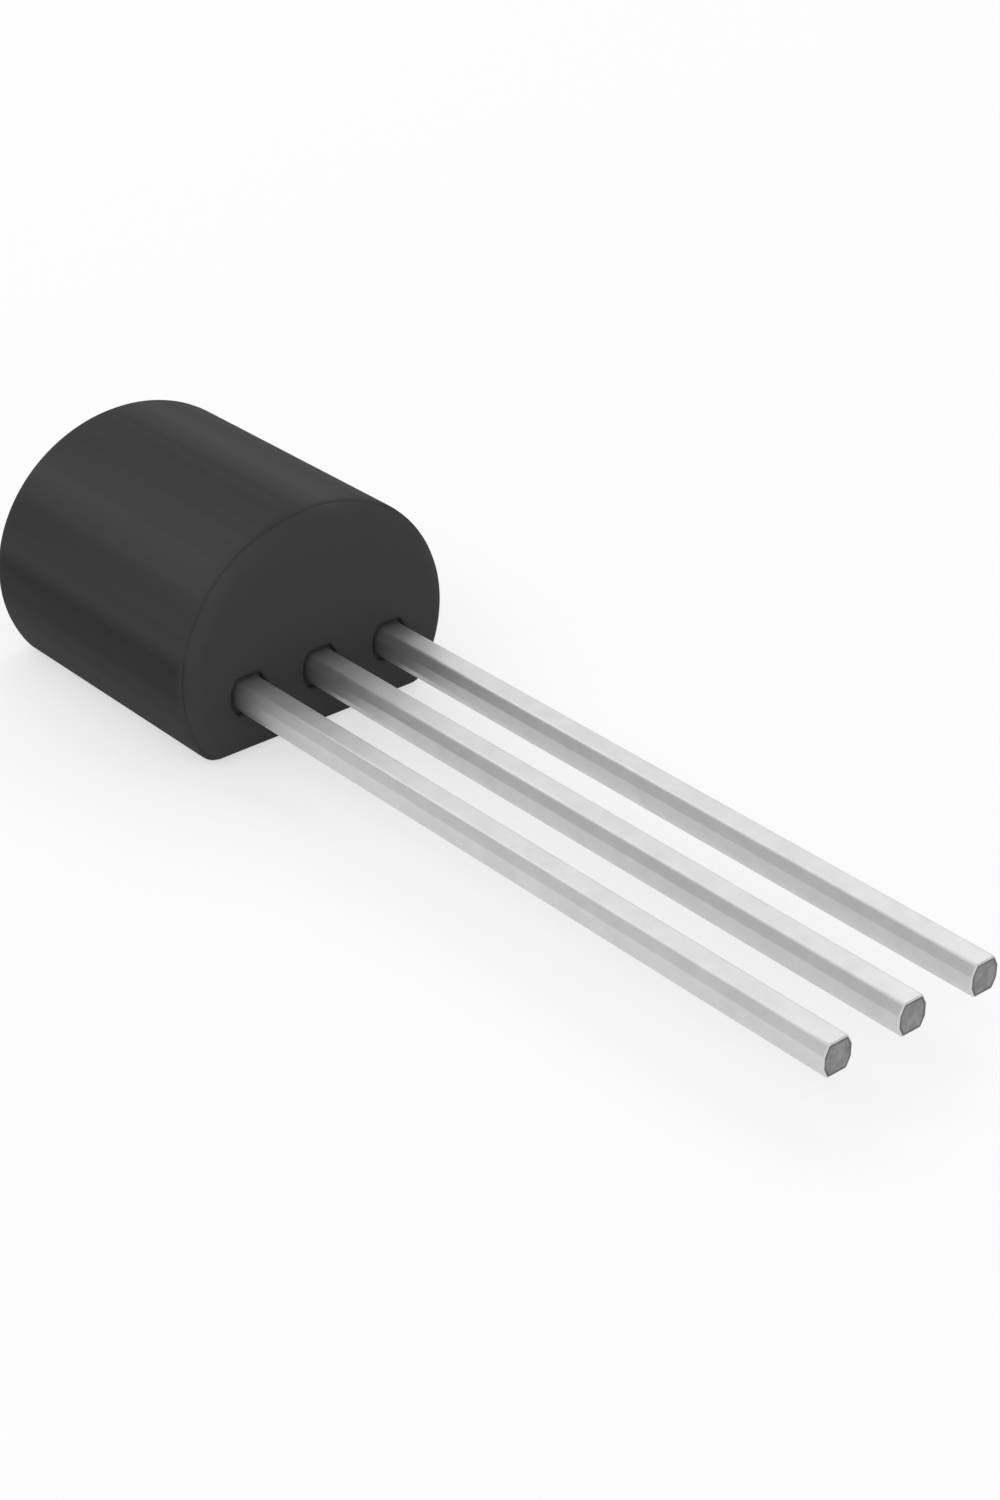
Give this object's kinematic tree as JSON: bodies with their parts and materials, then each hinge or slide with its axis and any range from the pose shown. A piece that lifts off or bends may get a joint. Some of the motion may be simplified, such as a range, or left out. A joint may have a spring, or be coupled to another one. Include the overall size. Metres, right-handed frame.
{
  "type": "shunt voltage regulator",
  "caption": "Leaded shunt voltage regulator: dark moulded body of D section with a flat side, round back and rounded ends, and a row of straight tinned leads for a circuit board.",
  "frame": {"origin": "middle of the flat side of the body, on the plane that the part lies on", "axes": "+X out of the body along the leads, +Y across the lead row towards the reference lead, +Z from the flat side to the round back"},
  "size_m": [0.0165, 0.0048, 0.0035],
  "materials": {
    "mould_compound": "satin",
    "tinned_lead": "satin",
    "die_adhesive": "matte",
    "silicon": "polished",
    "bond_wire": "polished"
  },
  "bodies": {
    "root": {"moulded_body": "mould_compound", "reference_lead": "tinned_lead", "anode_lead": "tinned_lead", "cathode_lead": "tinned_lead", "die_attach": "die_adhesive", "silicon_die": "silicon", "reference_bond_wire": "bond_wire", "anode_bond_wire": "bond_wire", "cathode_bond_wire": "bond_wire"}
  },
  "joints": []
}
